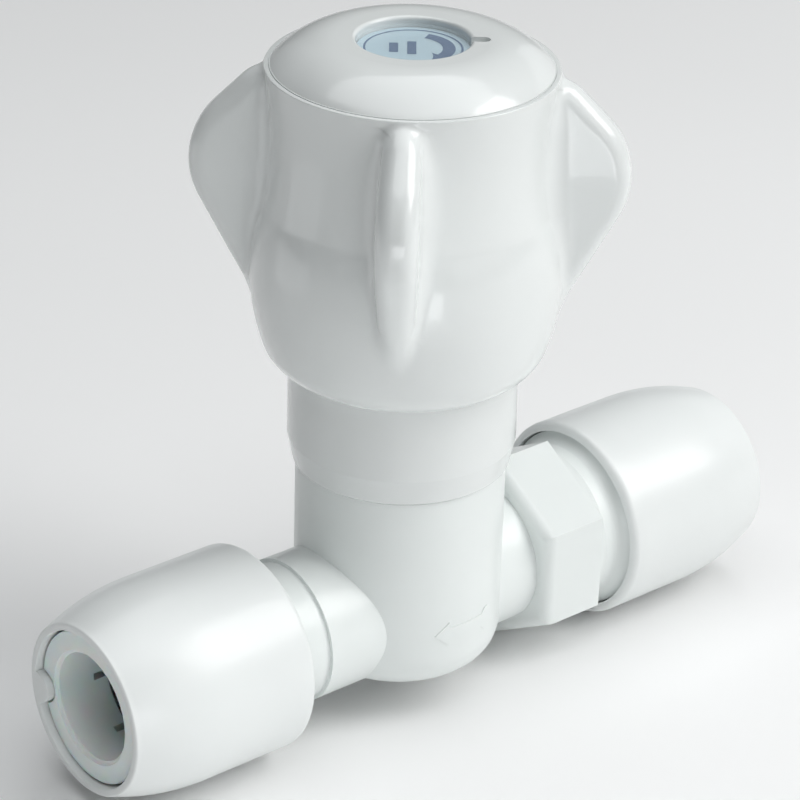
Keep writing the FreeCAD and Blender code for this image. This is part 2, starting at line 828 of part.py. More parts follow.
def collet(label):
    """Release ring: a tube with a flange behind the cap's lip, slots at its inner end and a key notch."""
    face = size.cap_mouth - size.collet_recess
    flange_front = fit.lip_shoulder - size.assembly_gap
    flange_back = flange_front - size.collet_flange_thickness
    mouth = size.collet_mouth_round
    body = new_body(label)
    profile = sketch_on(body, "XY_Plane", f"{label}_profile")
    outline(profile, [
        (flange_back, fit.collet_bore_radius),
        (face - mouth, fit.collet_bore_radius),
        (face, fit.collet_bore_radius + mouth, -mouth),
        (face, fit.collet_radius - mouth / 2),
        (face - mouth / 2, fit.collet_radius, mouth / 2),
        (flange_front, fit.collet_radius),
        (flange_front, fit.collet_flange_radius),
        (flange_back, fit.collet_flange_radius),
    ])
    turn(body, profile, "H_Axis")

    slot = sketch_on(body, "YZ_Plane", f"{label}_slot", flange_back)
    half = size.collet_slot_width / 2
    outline(slot, [
        (fit.collet_bore_radius - size.cut_margin, -half),
        (fit.collet_flange_radius + size.cut_margin, -half),
        (fit.collet_flange_radius + size.cut_margin, half),
        (fit.collet_bore_radius - size.cut_margin, half),
    ])
    cut = add(body, "Pocket", slot, Length=size.collet_slot_length, Reversed=True)
    pattern(body, cut, "X_Axis", COLLET_SLOTS)

    notch = sketch_on(body, "YZ_Plane", f"{label}_notch", size.cap_mouth - size.key_depth - size.free_gap)
    reach = fit.key_reach - size.free_gap
    width = size.key_radius + size.free_gap
    round_start = reach + width
    outer = fit.collet_radius + size.cut_margin
    outline(notch, [
        (-outer, width),
        (-outer, -width),
        (-round_start, -width),
        (-reach, 0, width),
        (-round_start, width, width),
    ])
    add(body, "Pocket", notch, Length=size.key_depth + size.free_gap, Reversed=True)
    return body


def grab_ring(label):
    """Stainless ring with teeth that lean in towards the pipe stop."""
    back = fit.cap_pocket_start + size.assembly_gap / 2
    front = back + size.grab_ring_thickness
    bend = fit.packing_radius - size.assembly_gap
    body = new_body(label)
    profile = sketch_on(body, "XY_Plane", f"{label}_profile")
    outline(profile, [
        (back, fit.collet_flange_radius),
        (back, bend),
        (back - size.grab_ring_lean, fit.grab_ring_inner_radius),
        (front - size.grab_ring_lean, fit.grab_ring_inner_radius),
        (front, bend),
        (front, fit.collet_flange_radius),
    ])
    turn(body, profile, "H_Axis")
    slot = sketch_on(body, "YZ_Plane", f"{label}_slot", back - size.grab_ring_lean - size.cut_margin)
    half = size.grab_ring_slot_width / 2
    outline(slot, [
        (fit.grab_ring_inner_radius - size.cut_margin, -half),
        (bend, -half),
        (bend, half),
        (fit.grab_ring_inner_radius - size.cut_margin, half),
    ])
    depth = size.grab_ring_lean + size.grab_ring_thickness + size.cut_margin * 2
    cut = add(body, "Pocket", slot, Length=depth, Reversed=True)
    pattern(body, cut, "X_Axis", GRAB_RING_TEETH)
    return body


def spacer(label):
    """Ring that holds the O-ring in and backs the toothed ring, flared to clear its teeth."""
    start = size.pipe_bore_length + size.pipe_seal_section + size.running_gap * 2
    outer = fit.packing_radius - size.assembly_gap
    end = fit.cap_pocket_start
    return turned(label, "X", [
        (start, outer),
        (start, fit.spacer_bore_radius),
        (start + size.spacer_throat, fit.spacer_bore_radius),
        (end, outer),
        (end, fit.collet_flange_radius),
        (size.socket_length, fit.collet_flange_radius),
        (size.socket_length, outer),
    ])


# ---------------------------------------------------------------- headworks


def headgear():
    """Threaded bush: a plug in the barrel, a clamped flange and the stuffing box."""
    flange_bottom = fit.barrel_top
    flange_top = flange_bottom + size.headgear_flange_thickness
    thread_bore = size.spindle_thread_radius + size.running_gap
    groove_inner = fit.headgear_plug_radius - size.headgear_seal_section
    half_groove = size.headgear_seal_section / 2
    body = turned("headgear", "Z", [
        (thread_bore, fit.headgear_bottom),
        (fit.headgear_plug_radius, fit.headgear_bottom),
        (fit.headgear_plug_radius, fit.headgear_groove_level - half_groove),
        (groove_inner, fit.headgear_groove_level - half_groove),
        (groove_inner, fit.headgear_groove_level + half_groove),
        (fit.headgear_plug_radius, fit.headgear_groove_level + half_groove),
        (fit.headgear_plug_radius, flange_bottom),
        (fit.headgear_flange_radius, flange_bottom),
        (fit.headgear_flange_radius, flange_top),
        (fit.headgear_tube_radius, flange_top),
        (fit.headgear_tube_radius, fit.headgear_top),
        (fit.stuffing_radius, fit.headgear_top),
        (fit.stuffing_radius, fit.stuffing_bottom),
        (thread_bore, fit.stuffing_bottom),
    ])
    place(body, size.outlet_reach)

    ring_radius = groove_inner + half_groove
    subparts.append(o_ring(
        "headgear_seal", ring_radius, size.headgear_seal_section, size.outlet_reach, fit.headgear_groove_level
    ))


def spindle_seals():
    """Two O-rings, one above the other in the stuffing box, round the spindle's shank."""
    section = size.spindle_seal_section
    ring_radius = size.spindle_shank_radius + size.running_gap + section / 2
    step = section + size.assembly_gap
    rings = []
    for number in range(2):
        level = fit.stuffing_bottom + size.assembly_gap + section / 2 + step * number
        rings.append(o_ring(f"spindle_seal_{number + 1}", ring_radius, section, size.outlet_reach, level))
    group = doc.addObject("Part::Compound", "spindle_seals")
    group.Links = rings
    group.Label = "spindle_seals"
    subparts.append(group)


def gland_nut():
    """Hexagonal cap nut over the stuffing box."""
    top = fit.gland_top
    bottom = top - size.gland_height
    body = new_body("gland_nut")
    place(body, size.outlet_reach)
    hex_sketch = sketch_on(body, "XY_Plane", "gland_hexagon", bottom)
    outline(hex_sketch, hexagon(fit.gland_corner_radius))
    add(body, "Pad", hex_sketch, Length=size.gland_height)
    bore = sketch_on(body, "XZ_Plane", "gland_bore")
    lid_bottom = fit.headgear_top + size.assembly_gap
    hole = size.spindle_shank_radius + size.free_gap
    outline(bore, [
        (0, bottom),
        (fit.gland_bore_radius, bottom),
        (fit.gland_bore_radius, lid_bottom),
        (hole, lid_bottom),
        (hole, top),
        (0, top),
    ])
    turn(body, bore, "V_Axis", "Groove")


def bonnet():
    """Sleeve that screws down over the barrel, clamps the headgear and shrouds it inside the handwheel."""
    neck = fit.barrel_neck_radius + size.assembly_gap
    ledge_bottom = fit.barrel_top + size.headgear_flange_thickness + size.assembly_gap
    ledge_top = ledge_bottom + size.bonnet_ledge_thickness
    foot = size.bonnet_foot_round
    body = turned("bonnet", "Z", [
        (neck, fit.bonnet_bottom),
        (fit.bonnet_foot_radius - foot, fit.bonnet_bottom),
        (fit.bonnet_foot_radius, fit.bonnet_bottom + foot, foot),
        (size.bonnet_radius, fit.bonnet_bottom + size.bonnet_taper),
        (size.bonnet_radius, fit.bonnet_top),
        (fit.bonnet_bore_radius, fit.bonnet_top),
        (fit.bonnet_bore_radius, ledge_top),
        (fit.bonnet_ledge_bore, ledge_top),
        (fit.bonnet_ledge_bore, ledge_bottom),
        (neck, ledge_bottom),
    ])
    place(body, size.outlet_reach)


# ---------------------------------------------------------------- spindle and jumper


def jumper():
    """Plate that carries the washer, with a stem that turns freely in the spindle."""
    nut_bottom = fit.washer_bottom - size.jumper_nut_height
    body = turned("jumper", "Z", [
        (0, nut_bottom),
        (size.jumper_stud_radius, nut_bottom),
        (size.jumper_stud_radius, fit.plate_bottom),
        (fit.plate_radius, fit.plate_bottom),
        (fit.plate_radius, fit.plate_top),
        (size.jumper_stem_radius, fit.plate_top),
        (size.jumper_stem_radius, fit.plate_top + size.jumper_stem_length),
        (0, fit.plate_top + size.jumper_stem_length),
    ])
    place(body, size.outlet_reach)

    stud_hole = size.jumper_stud_radius + size.running_gap
    washer = turned("jumper_washer", "Z", [
        (stud_hole, fit.washer_bottom),
        (fit.washer_radius, fit.washer_bottom),
        (fit.washer_radius, fit.plate_bottom),
        (stud_hole, fit.plate_bottom),
    ])
    place(washer, size.outlet_reach)

    nut = new_body("jumper_nut")
    place(nut, size.outlet_reach)
    nut_sketch = sketch_on(nut, "XY_Plane", "jumper_nut_hexagon", nut_bottom)
    outline(nut_sketch, hexagon(size.jumper_nut_radius))
    add(nut, "Pad", nut_sketch, Length=size.jumper_nut_height)
    hole = sketch_on(nut, "XY_Plane", "jumper_nut_hole", fit.washer_bottom)
    circle_on_axis(hole, stud_hole)
    add(nut, "Pocket", hole, Length=size.jumper_nut_height)


def spindle():
    """Threaded below, plain through the seals, square where it drives the handwheel."""
    bottom = fit.plate_top + size.assembly_gap
    thread_top = fit.stuffing_bottom - size.spindle_thread_end
    stem_hole = size.jumper_stem_radius + size.running_gap
    hole_top = fit.plate_top + size.jumper_stem_length + size.free_gap
    shank_top = fit.web_bottom
    body = turned("spindle", "Z", [
        (stem_hole, bottom),
        (size.spindle_thread_radius, bottom),
        (size.spindle_thread_radius, thread_top),
        (size.spindle_shank_radius, thread_top),
        (size.spindle_shank_radius, shank_top),
        (0, shank_top),
        (0, hole_top),
        (stem_hole, hole_top),
    ])
    place(body, size.outlet_reach, size.wing_phase)
    drive = sketch_on(body, "XY_Plane", "spindle_square", shank_top)
    outline(drive, square(size.spindle_square))
    add(body, "Pad", drive, Length=fit.boss_top - shank_top)
    hole = sketch_on(body, "XY_Plane", "spindle_screw_hole", fit.boss_top)
    circle_on_axis(hole, size.screw_radius + size.running_gap)
    add(body, "Pocket", hole, Length=size.screw_length + size.free_gap)


def handwheel_screw():
    """Pan-head screw down into the top of the spindle."""
    head_bottom = fit.boss_top + size.assembly_gap
    head_top = head_bottom + size.screw_head_height
    edge = size.screw_head_height / 2
    body = turned("handwheel_screw", "Z", [
        (0, head_bottom - size.screw_length),
        (size.screw_radius, head_bottom - size.screw_length),
        (size.screw_radius, head_bottom),
        (size.screw_head_radius, head_bottom),
        (size.screw_head_radius, head_bottom + edge),
        (size.screw_head_radius - edge, head_top, edge),
        (0, head_top),
    ])
    place(body, size.outlet_reach)
    slot = sketch_on(body, "XY_Plane", "screw_cross", head_top)
    outline(slot, square(size.screw_radius))
    add(body, "Pocket", slot, Length=edge)


# ---------------------------------------------------------------- handwheel


def handwheel():
    """Waisted barrel with four rounded wings, hollow below over the bonnet and above under the cap."""
    body = new_body("handwheel")
    place(body, size.outlet_reach, size.wing_phase)
    profile = sketch_on(body, "XZ_Plane", "handwheel_profile")
    outline(profile, [
        (0, fit.rim_top),
        (0, fit.skirt_bottom),
        (fit.skirt_radius, fit.skirt_bottom),
        (fit.belly_low_radius, fit.belly_low, size.skirt_round),
        (fit.belly_high_radius, fit.belly_high, size.belly_curve),
        (fit.rim_radius, fit.rim_top, -size.waist_curve),
    ])
    turn(body, profile, "V_Axis")
    wings(body)
    handwheel_hollows(body)


def wings(body):
    """One wing outlined in an upright plane, repeated round the spindle, with its outer edges rounded."""
    curve = size.wing_curve
    middle = fit.wing_radius - curve
    high = size.wing_high_slope
    low = size.wing_low_slope
    high_x = middle + curve * cosine(high)
    high_z = fit.wing_level + curve * sine(high)
    low_x = middle + curve * cosine(low)
    low_z = fit.wing_level - curve * sine(low)
    shoulder = size.wing_shoulder_curve
    shoulder_z = fit.wing_shoulder_level - shoulder * (Size(1.0, "1") - cosine(high))
    shoulder_x = high_x - (shoulder_z - high_z) / tangent(high)
    shoulder_start = shoulder_x - shoulder * sine(high)
    inner = fit.skirt_radius
    foot_z = low_z - (low_x - inner) / tangent(low)
    sketch = sketch_on(body, "XZ_Plane", "wing_outline")
    outline(sketch, [
        (inner, fit.wing_shoulder_level),
        (inner, foot_z),
        (low_x, low_z),
        (high_x, high_z, curve),
        (shoulder_x, shoulder_z),
        (shoulder_start, fit.wing_shoulder_level, shoulder),
    ])
    barrel_surface = body.Tip.Shape
    wing = add(body, "Pad", sketch, Length=size.wing_thickness, Midplane=True)
    pattern(body, wing, "Z_Axis", WINGS)

    def on_wing_side(point):
        """Whether a point lies on the flat side of any wing."""
        quarter = 2 * math.pi / WINGS
        angle = math.atan2(point.y, point.x)
        offset = math.hypot(point.x, point.y) * math.sin(angle - quarter * round(angle / quarter))
        return abs(abs(offset) - size.wing_thickness.value / 2) < 1e-3

    def side_edge(edge):
        points = edge.discretize(7)
        return all(on_wing_side(point) for point in points)

    def off_barrel(edge):
        middle = Part.Vertex(edge.discretize(7)[3])
        return barrel_surface.distToShape(middle)[0] > 0.2

    round_edges(body, size.wing_round, lambda edge: side_edge(edge) and off_barrel(edge))


def handwheel_hollows(body):
    """Skirt bore over the bonnet, recess under the cap, and the boss's square hole."""
    web_top = fit.web_bottom + size.handwheel_web_thickness
    ledge_bore = fit.rim_bore_radius - size.rim_ledge_width
    below = sketch_on(body, "XZ_Plane", "skirt_hollow")
    outline(below, [
        (0, fit.skirt_bottom),
        (fit.skirt_bore_radius, fit.skirt_bottom),
        (fit.skirt_bore_radius, fit.web_bottom),
        (0, fit.web_bottom),
    ])
    turn(body, below, "V_Axis", "Groove")
    above = sketch_on(body, "XZ_Plane", "rim_hollow")
    outline(above, [
        (0, fit.rim_top),
        (0, fit.boss_top),
        (size.handwheel_boss_radius, fit.boss_top),
        (size.handwheel_boss_radius, web_top),
        (ledge_bore - size.rim_taper, web_top),
        (ledge_bore, fit.cover_bottom),
        (fit.rim_bore_radius, fit.cover_bottom),
        (fit.rim_bore_radius, fit.rim_top),
    ])
    turn(body, above, "V_Axis", "Groove")
    drive = sketch_on(body, "XY_Plane", "handwheel_square", fit.boss_top)
    outline(drive, square(size.spindle_square + size.assembly_gap * 2))
    add(body, "Pocket", drive, Length=fit.boss_top - fit.web_bottom)


def handwheel_cap():
    """Domed disc that closes the handwheel, with a round window well and its notch."""
    edge = fit.rim_bore_radius - size.assembly_gap
    reach = root(size.cover_rise * size.cover_curve * 2 - size.cover_rise * size.cover_rise)
    flat = edge - size.cover_edge_step - reach
    body = new_body("handwheel_cap")
    place(body, size.outlet_reach, size.dial_phase)
    profile = sketch_on(body, "XZ_Plane", "cover_profile")
    window_edge = size.window_radius + size.window_round
    outline(profile, [
        (0, fit.cover_bottom),
        (edge, fit.cover_bottom),
        (edge, fit.cover_edge_level),
        (edge - size.cover_edge_step, fit.cover_edge_level),
        (flat, fit.cover_top, size.cover_curve),
        (window_edge, fit.cover_top),
        (size.window_radius, fit.cover_top - size.window_round, size.window_round),
        (size.window_radius, fit.window_floor),
        (0, fit.window_floor),
    ])
    turn(body, profile, "V_Axis")
    notch = sketch_on(body, "XY_Plane", "window_notch", fit.cover_top)
    half = size.notch_width / 2
    notch_end = size.window_radius + size.notch_length - half
    outline(notch, [
        (size.window_radius - size.cut_margin, half),
        (size.window_radius - size.cut_margin, -half),
        (notch_end, -half),
        (notch_end + half, 0, half),
        (notch_end, half, half),
    ])
    add(body, "Pocket", notch, Length=size.notch_depth)


def dial():
    """Printed disc on the window's floor and the clear lens over it."""
    radius = size.window_radius - size.assembly_gap
    lens_bottom = fit.window_floor + size.disc_thickness
    layers = {
        "indicator_disc": (fit.window_floor, lens_bottom),
        "indicator_lens": (lens_bottom, lens_bottom + size.lens_thickness),
    }
    for label, (low, high) in layers.items():
        piece = turned(label, "Z", [(0, low), (radius, low), (radius, high), (0, high)])
        place(piece, size.outlet_reach, size.dial_phase)


# ---------------------------------------------------------------- assembly


def check_and_write():
    """Stop on any failed object or bad shape, then write one STEP file a piece."""
    doc.recompute()
    failed = [item.Name for item in doc.Objects if {"Invalid", "Error"} & set(item.State)]
    if failed:
        raise RuntimeError(f"objects that failed: {failed}")
    for piece in subparts:
        if piece.Shape.isNull() or not piece.Shape.isValid():
            raise RuntimeError(f"{piece.Label} has a bad shape")
    for piece in subparts:
        piece.Shape.exportStep(f"parts/{piece.Label}.step")
        box = piece.Shape.BoundBox
        print(
            f"{piece.Label:18s} solids {len(piece.Shape.Solids)}  volume {piece.Shape.Volume:9.1f}"
            f"  x {box.XMin:7.2f} {box.XMax:7.2f}  y {box.YMin:7.2f} {box.YMax:7.2f}"
            f"  z {box.ZMin:7.2f} {box.ZMax:7.2f}"
        )


valve_body()
inlet_connector()
end_pieces("outlet", as_size(0), 180)
end_pieces("inlet", fit.inlet_stop, 0)
headgear()
spindle_seals()
gland_nut()
bonnet()
jumper()
spindle()
handwheel_screw()
handwheel()
handwheel_cap()
dial()
check_and_write()
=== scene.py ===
import math

import bmesh
import bpy
import numpy as np
from mathutils import Matrix, Vector


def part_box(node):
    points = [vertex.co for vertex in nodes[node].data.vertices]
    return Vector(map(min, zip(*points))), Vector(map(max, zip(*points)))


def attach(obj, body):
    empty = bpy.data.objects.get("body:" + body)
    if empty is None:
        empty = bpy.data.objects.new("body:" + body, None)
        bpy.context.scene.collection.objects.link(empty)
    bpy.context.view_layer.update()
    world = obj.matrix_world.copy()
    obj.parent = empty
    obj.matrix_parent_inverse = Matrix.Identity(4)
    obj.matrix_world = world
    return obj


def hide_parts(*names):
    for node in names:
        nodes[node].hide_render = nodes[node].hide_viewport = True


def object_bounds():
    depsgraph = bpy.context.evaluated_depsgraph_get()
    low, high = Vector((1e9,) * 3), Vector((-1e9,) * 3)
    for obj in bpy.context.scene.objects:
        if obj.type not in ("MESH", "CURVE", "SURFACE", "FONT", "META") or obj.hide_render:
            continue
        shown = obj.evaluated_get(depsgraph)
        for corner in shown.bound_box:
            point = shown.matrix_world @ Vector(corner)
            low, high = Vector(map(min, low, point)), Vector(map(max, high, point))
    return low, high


# In-line push-fit stop valve with a four-winged handwheel, in metres, in the CAD frame: +X runs along the
# pipe from the outlet to the inlet, and +Z runs up the spindle.

MM = 0.001

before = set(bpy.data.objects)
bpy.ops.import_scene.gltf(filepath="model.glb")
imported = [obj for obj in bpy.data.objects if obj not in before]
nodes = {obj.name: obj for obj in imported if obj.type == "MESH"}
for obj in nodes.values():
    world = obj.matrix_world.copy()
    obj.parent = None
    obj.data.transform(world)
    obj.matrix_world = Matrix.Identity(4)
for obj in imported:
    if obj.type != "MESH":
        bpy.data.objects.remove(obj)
cad_low, cad_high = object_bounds()

SLOT_OF = {
    "valve_body": "white_body",
    "inlet_connector": "white_body",
    "connector_seal": "seal_rubber",
    "outlet_cap": "white_cap",
    "inlet_cap": "white_cap",
    "outlet_collet": "collet_plastic",
    "inlet_collet": "collet_plastic",
    "outlet_spacer": "collet_plastic",
    "inlet_spacer": "collet_plastic",
    "outlet_grab_ring": "steel_teeth",
    "inlet_grab_ring": "steel_teeth",
    "outlet_seal": "seal_rubber",
    "inlet_seal": "seal_rubber",
    "headgear": "brass",
    "headgear_seal": "seal_rubber",
    "spindle_seals": "seal_rubber",
    "gland_nut": "brass",
    "bonnet": "white_handwheel",
    "jumper": "brass",
    "jumper_washer": "seal_rubber",
    "jumper_nut": "brass",
    "spindle": "brass",
    "handwheel_screw": "screw_steel",
    "handwheel": "white_handwheel",
    "handwheel_cap": "white_handwheel",
    "indicator_disc": "printed_disc",
    "indicator_lens": "lens",
}

# ---------------------------------------------------------------- materials

# the part of a noise's output that the looks below spread over, as its ends are rarely reached
NOISE_LOW = 0.3
NOISE_HIGH = 0.7
# how far a bump stands out
PLASTIC_GRAIN = 0.004 * MM
RUBBER_GRAIN = 0.02 * MM
TOOL_MARKS = 0.01 * MM
COLOUR_DRIFT = 0.05                 # share by which moulded plastic darkens from place to place
GLOW_DEPTH = 4.0 * MM               # how far light travels in a translucent plastic
RING_STRETCH = (1.0, 1.0, 90.0)     # of the noise that makes the turned rings


class Shader:
    """A material's node tree, with short calls for the nodes that the looks below use."""

    def __init__(self, name):
        self.material = bpy.data.materials.new(name)
        self.material.use_nodes = True
        self.tree = self.material.node_tree
        self.bsdf = self.tree.nodes["Principled BSDF"]
        self.place = self.node("ShaderNodeTexCoord").outputs["Object"]

    def node(self, kind):
        return self.tree.nodes.new(kind)

    def link(self, source, target):
        self.tree.links.new(source, target)

    def set(self, **values):
        """Plain values on the shader's own sockets, such as Coat_Weight=0.3."""
        for name, value in values.items():
            self.bsdf.inputs[name.replace("_", " ")].default_value = value

    def stretched(self, scale):
        """The object's own coordinates, times a scale along each axis."""
        mapping = self.node("ShaderNodeMapping")
        mapping.inputs["Scale"].default_value = scale
        self.link(self.place, mapping.inputs["Vector"])
        return mapping.outputs["Vector"]

    def noise(self, scale, detail=3.0, roughness=0.5, place=None):
        made = self.node("ShaderNodeTexNoise")
        made.inputs["Scale"].default_value = scale
        made.inputs["Detail"].default_value = detail
        made.inputs["Roughness"].default_value = roughness
        self.link(place or self.place, made.inputs["Vector"])
        return made.outputs["Fac"]

    def between(self, factor, low, high):
        """A number between low and high that follows a noise."""
        made = self.node("ShaderNodeMapRange")
        made.inputs["From Min"].default_value = NOISE_LOW
        made.inputs["From Max"].default_value = NOISE_HIGH
        made.inputs["To Min"].default_value = low
        made.inputs["To Max"].default_value = high
        self.link(factor, made.inputs["Value"])
        return made.outputs["Result"]

    def colours(self, factor, low, high):
        """A colour between low and high that follows a noise."""
        ramp = self.node("ShaderNodeValToRGB")
        stops = ((NOISE_LOW, low), (NOISE_HIGH, high))
        for element, (position, colour) in zip(ramp.color_ramp.elements, stops):
            element.position = position
            element.color = (*colour, 1.0)
        self.link(factor, ramp.inputs["Fac"])
        return ramp.outputs["Color"]

    def bump(self, height, distance):
        made = self.node("ShaderNodeBump")
        made.inputs["Distance"].default_value = distance
        made.inputs["Strength"].default_value = 1.0
        self.link(height, made.inputs["Height"])
        self.link(made.outputs["Normal"], self.bsdf.inputs["Normal"])


def shade(colour, by):
    """The colour with each channel times a factor."""
    return tuple(channel * by for channel in colour)


def moulded_plastic(name, colour, roughness, coat, glow_through=0.0):
    """Moulded plastic: faint drift of colour and gloss over the surface, and a fine uneven skin."""
    look = Shader(name)
    drift = look.noise(scale=70.0, detail=2.0)
    fine = look.noise(scale=900.0, detail=4.0, roughness=0.6)
    tint = look.colours(drift, shade(colour, 1.0 - COLOUR_DRIFT / 2), colour)
    look.link(tint, look.bsdf.inputs["Base Color"])
    look.link(look.between(fine, roughness * 0.85, roughness * 1.15), look.bsdf.inputs["Roughness"])
    look.bump(look.noise(scale=420.0, roughness=0.55), PLASTIC_GRAIN)
    look.set(IOR=1.5, Coat_Weight=coat, Coat_Roughness=0.06)
    look.set(Subsurface_Weight=glow_through, Subsurface_Scale=GLOW_DEPTH)
    return look.material


def rubber(name):
    """Matt black rubber with a fine skin."""
    look = Shader(name)
    fine = look.noise(scale=1500.0, detail=5.0, roughness=0.6)
    tint = look.colours(fine, (0.012, 0.012, 0.013), (0.024, 0.024, 0.025))
    look.link(tint, look.bsdf.inputs["Base Color"])
    look.link(look.between(fine, 0.5, 0.68), look.bsdf.inputs["Roughness"])
    look.bump(fine, RUBBER_GRAIN)
    return look.material


def turned_metal(name, colour, roughness):
    """Machined metal with fine rings from the cutting tool."""
    look = Shader(name)
    rings = look.noise(scale=60.0, place=look.stretched(RING_STRETCH))
    look.link(look.colours(rings, shade(colour, 0.82), colour), look.bsdf.inputs["Base Color"])
    look.link(look.between(rings, roughness * 0.8, roughness * 1.3), look.bsdf.inputs["Roughness"])
    look.bump(rings, TOOL_MARKS)
    look.set(Metallic=1.0)
    return look.material


def clear_lens(name):
    """Clear window, faintly smeared."""
    look = Shader(name)
    smear = look.noise(scale=160.0)
    tint = look.colours(smear, (0.80, 0.91, 0.96), (0.88, 0.95, 0.98))
    look.link(tint, look.bsdf.inputs["Base Color"])
    look.link(look.between(smear, 0.03, 0.08), look.bsdf.inputs["Roughness"])
    look.set(IOR=1.49, Alpha=0.1)
    return look.material


looks = {
    "white_body": moulded_plastic("body_plastic", (0.79, 0.825, 0.815), 0.34, 0.12),
    "white_cap": moulded_plastic("cap_plastic", (0.80, 0.825, 0.82), 0.33, 0.12),
    "white_handwheel": moulded_plastic("handwheel_plastic", (0.76, 0.785, 0.78), 0.2, 0.35),
    "collet_plastic": moulded_plastic("collet_plastic", (0.84, 0.88, 0.87), 0.4, 0.1, glow_through=0.5),
    "seal_rubber": rubber("seal_rubber"),
    "steel_teeth": turned_metal("stainless_steel", (0.62, 0.62, 0.61), 0.25),
    "brass": turned_metal("brass", (0.72, 0.52, 0.24), 0.26),
    "lens": clear_lens("clear_lens"),
    "printed_disc": moulded_plastic("disc_plastic", (0.46, 0.59, 0.66), 0.4, 0.2),
    "print": moulded_plastic("dial_ink", (0.035, 0.09, 0.21), 0.35, 0.1),
    "screw_steel": turned_metal("screw_steel", (0.58, 0.58, 0.57), 0.3),
}

for node in nodes.values():
    node.data.materials.clear()
    node.data.materials.append(looks[SLOT_OF[node.name]])

# ---------------------------------------------------------------- handwheel

SPINDLE_X = 28.0                    # mm, like every size in this section
WHEEL_TURN = math.radians(46.5)
SKIRT_BOTTOM = 36.8
RIM_TOP = 79.8
SKIRT_BORE = 16.35
RIM_BORE = 19.06
EDGE_ROUND = 0.12                   # how far the outer surface stops short of the rim and the skirt's foot
EDGE_STEP = (0.05, 0.03)            # the round's middle point at the rim, inwards and downwards
EDGE_INSET = 0.14                   # how far the end faces start inside the outer surface
BORE_EDGE = 0.1                     # chamfer of the bores
# (radius, level) where each arc up the barrel starts and ends, and the arc's radius, below 0 if it is hollow
BARREL_ARCS = [
    ((16.9, 36.8), (19.7, 40.0), 6.0),
    ((19.7, 40.0), (19.8, 60.5), 32.0),
    ((19.8, 60.5), (19.75, 79.8), -65.0),
]
# (distance from the axis, level) of the centres of the arcs round the wing's tip and shoulder, and the
# arcs' radii
WING_MIDDLE = (18.18, 65.3)
WING_CURVE = 11.6
WING_LOW_SLOPE = math.radians(27.4)
WING_HIGH_SLOPE = math.radians(45.0)
WING_SHOULDER = (18.11, 72.7)
WING_SHOULDER_CURVE = 6.5
WING_EDGE_ROUND = 2.3
# by level: half of the wing's thickness, and the hollow radius where it joins the barrel
WING_LEVELS = [40.0, 45.0, 52.0, 58.0, 66.0, 73.0, 79.0]
WING_HALF_THICKNESS = [1.8, 2.1, 2.5, 2.75, 2.85, 2.7, 2.35]
WING_ROOT_ROUND = [0.5, 0.7, 1.3, 2.2, 3.0, 2.6, 1.0]
WING_FOOT = 10.0                    # from the axis to the start of the wing's outline, inside the barrel
# (radius, level) of the ledge under the cap, the hollow's floor and the boss's top
CAP_LEDGE = (17.15, 77.5)
WELL_FLOOR = (16.52, 61.0)
BOSS = (7.5, 75.0)
BOSS_FOOT = 57.0
SQUARE_HALF = 3.6                   # half the side of the hole for the spindle's square
ARC_STEPS = 16
SHARP_ANGLE = math.radians(35.0)
RAY_REACH = 40.0
RAY_STEPS = 80
RAY_HALVINGS = 18
RAY_START = 5.0                     # from the axis, for the rays that find each section's tip
# points of half a quarter turn, from between two wings to a wing's middle
RING_STEPS = {"barrel": 16, "root": 7, "flank": 4, "tip": 9}
HALF_SECTOR = sum(RING_STEPS.values())
# shares of the wing's reach where its root ends and its tip begins, and the reach at which both are whole
ROOT_END = 0.4
FLANK_END = 0.72
WHOLE_REACH = 2.5
# levels where the rows of the outer surface change their spacing, and the rows up to each
ROW_BREAKS = (44.0, 75.0)
ROW_COUNTS = (22, 56, 22)


def arc_radius(level, start, end, radius):
    """Distance from the axis at a level of the arc from start up to end."""
    start = np.array(start)
    end = np.array(end)
    chord = end - start
    length = np.hypot(*chord)
    inward = np.array((-chord[1], chord[0])) / length * math.copysign(1.0, radius)
    centre = (start + end) / 2 + inward * math.sqrt(radius ** 2 - (length / 2) ** 2)
    reach = np.sqrt(np.maximum(radius ** 2 - (level - centre[1]) ** 2, 0.0))
    return centre[0] + math.copysign(1.0, radius) * reach


def barrel_radius(level):
    """Distance from the axis to the outside of the barrel, without its wings."""
    radius = np.full_like(level, BARREL_ARCS[0][0][0])
    for start, end, curve in BARREL_ARCS:
        inside = (level >= start[1]) & (level <= end[1])
        radius = np.where(inside, arc_radius(level, start, end, curve), radius)
    return radius


def arc_points(centre, radius, first, last):
    """Points of an arc between two angles, as (distance from the axis, level)."""
    angles = np.linspace(first, last, ARC_STEPS)
    return np.stack((centre[0] + radius * np.cos(angles), centre[1] + radius * np.sin(angles)), axis=1)


def wing_outline():
    """The wing's outline as (distance from the axis, level), from its foot in the barrel round its tip."""
    tip = arc_points(WING_MIDDLE, WING_CURVE, -WING_LOW_SLOPE, WING_HIGH_SLOPE)
    shoulder = arc_points(WING_SHOULDER, WING_SHOULDER_CURVE, WING_HIGH_SLOPE, math.pi / 2)
    foot_level = tip[0, 1] - (tip[0, 0] - WING_FOOT) / math.tan(WING_LOW_SLOPE)
    return np.vstack(((WING_FOOT, foot_level), tip, shoulder, (WING_FOOT, shoulder[-1, 1])))


